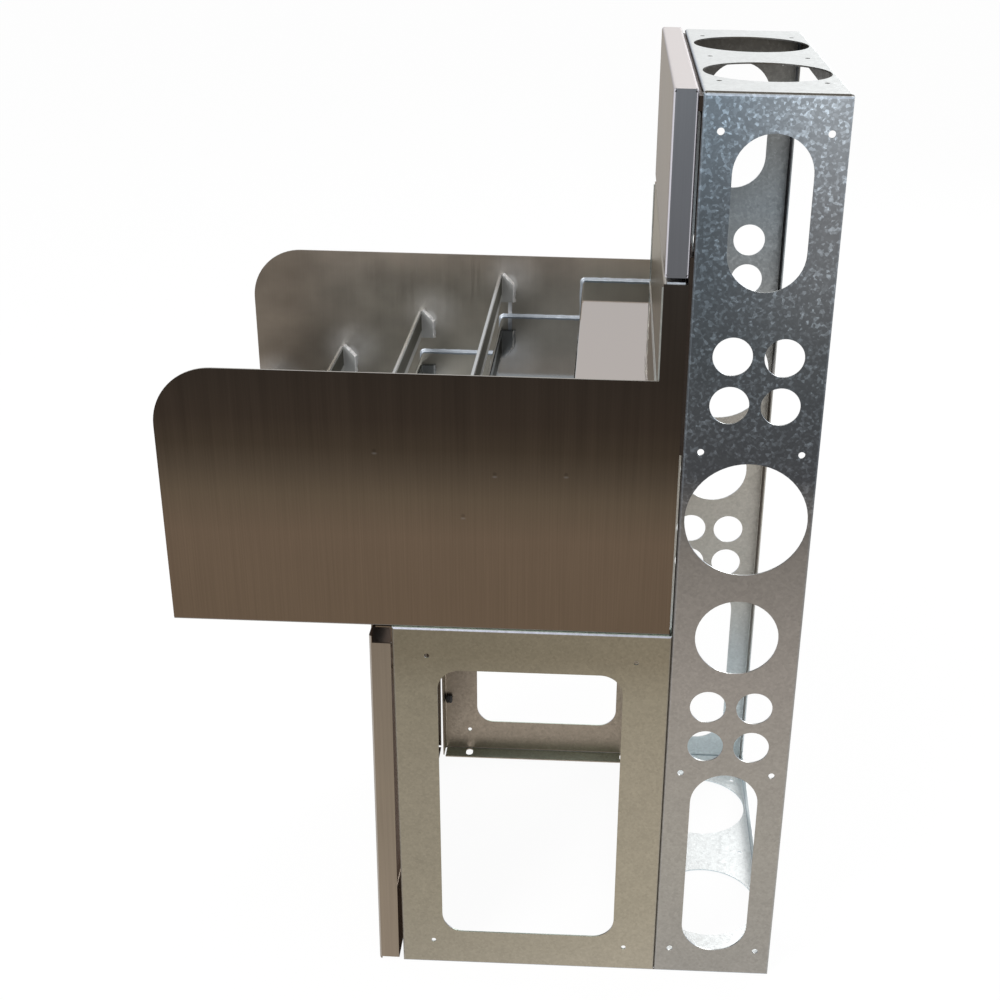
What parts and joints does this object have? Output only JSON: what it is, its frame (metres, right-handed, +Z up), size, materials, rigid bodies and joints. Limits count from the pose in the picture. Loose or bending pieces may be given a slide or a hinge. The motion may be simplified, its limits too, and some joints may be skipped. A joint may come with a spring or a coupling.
{
  "type": "underbar bottle display",
  "caption": "Stepped stainless bottle display tray with bottle rails, carried on a galvanised base and on an upright galvanised bar die with service holes.",
  "frame": {"origin": "on the floor, at the middle of the overall width and of the overall depth", "axes": "+Z up, -Y towards the bartender at the tray's front, +Y towards the die and the customer side, +X to the right seen from the front"},
  "size_m": [0.4572, 0.675, 1.0318],
  "materials": {
    "galvanised_die": "hot-dip galvanised sheet with a small bright spangle",
    "galvanised_rail": "galvanised sheet, dull",
    "galvanised_base": "galvanised sheet with a fine, faint spangle",
    "stainless_panel": "stainless steel, fine vertical brushing",
    "stainless_tray": "stainless steel, fine brushing, polished weld seams",
    "polished_rail": "stainless steel strip with bright edges",
    "zinc_fastener": "bright zinc plate",
    "black_catch": "black moulded plastic"
  },
  "bodies": {
    "root": {"die_side_left": "galvanised_die", "die_side_right": "galvanised_die", "die_top_plate": "galvanised_die", "die_bottom_plate": "galvanised_die", "upper_mounting_rail": "galvanised_rail", "lower_mounting_rail": "galvanised_rail", "base_skirt_hanger": "galvanised_rail", "base_upper_channel": "galvanised_rail", "base_lower_channel": "galvanised_rail", "base_side_left": "galvanised_base", "base_side_right": "galvanised_base", "face_panel": "stainless_panel", "backsplash": "stainless_panel", "base_skirt_panel": "stainless_panel", "stepped_deck": "stainless_tray", "end_panel_left": "stainless_tray", "end_panel_right": "stainless_tray", "bottle_rail_1": "polished_rail", "bottle_rail_2": "polished_rail", "bottle_rail_3": "polished_rail", "bottle_rail_4": "polished_rail", "tray_bolts": "zinc_fastener", "tray_nuts": "zinc_fastener", "base_bolts": "zinc_fastener", "base_nuts": "zinc_fastener", "panel_screws": "zinc_fastener", "panel_nuts": "zinc_fastener", "hanger_rivets": "zinc_fastener", "skirt_catches": "black_catch"}
  },
  "joints": []
}
